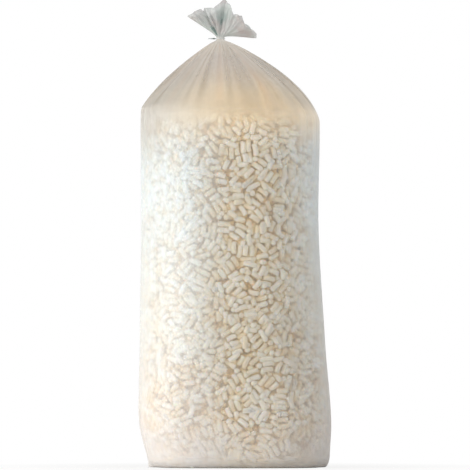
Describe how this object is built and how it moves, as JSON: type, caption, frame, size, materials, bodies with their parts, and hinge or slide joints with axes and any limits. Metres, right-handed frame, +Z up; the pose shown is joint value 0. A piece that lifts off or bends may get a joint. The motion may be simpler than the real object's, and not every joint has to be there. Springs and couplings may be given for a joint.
{
  "type": "packing peanut bag",
  "caption": "Tall see-through film bag filled with foam packing peanuts, gathered at the neck with a wire tie under a ruffled tail, standing on its flat base.",
  "frame": {"origin": "middle of the bag's base, on the floor it stands on", "axes": "+Z up through the neck and tail, +X to the bag's right as seen from the front, front towards -Y"},
  "size_m": [0.691, 0.6336, 1.6762],
  "materials": {
    "polythene_film": "thin milky see-through film, softly glossy",
    "foam_peanut": "matte off-white foam with rounded rims",
    "coated_wire": "thin wire in a pale plastic sleeve, its twisted ends bare and dark"
  },
  "bodies": {
    "root": {"bag_film": "polythene_film", "peanut_heap": "foam_peanut", "neck_tie": "coated_wire", "peanut_01": "foam_peanut", "peanut_02": "foam_peanut", "peanut_03": "foam_peanut", "peanut_04": "foam_peanut", "peanut_05": "foam_peanut", "peanut_06": "foam_peanut", "peanut_07": "foam_peanut", "peanut_08": "foam_peanut", "peanut_09": "foam_peanut", "peanut_10": "foam_peanut", "peanut_11": "foam_peanut", "peanut_12": "foam_peanut", "peanut_13": "foam_peanut", "peanut_14": "foam_peanut", "peanut_15": "foam_peanut", "peanut_16": "foam_peanut", "peanut_17": "foam_peanut", "peanut_18": "foam_peanut", "peanut_19": "foam_peanut", "peanut_20": "foam_peanut", "peanut_21": "foam_peanut", "peanut_22": "foam_peanut", "peanut_23": "foam_peanut", "peanut_24": "foam_peanut", "peanut_25": "foam_peanut", "peanut_26": "foam_peanut", "peanut_27": "foam_peanut", "peanut_28": "foam_peanut", "peanut_29": "foam_peanut", "peanut_30": "foam_peanut", "peanut_31": "foam_peanut", "peanut_32": "foam_peanut", "peanut_33": "foam_peanut", "peanut_34": "foam_peanut", "peanut_35": "foam_peanut", "peanut_36": "foam_peanut"}
  },
  "joints": []
}
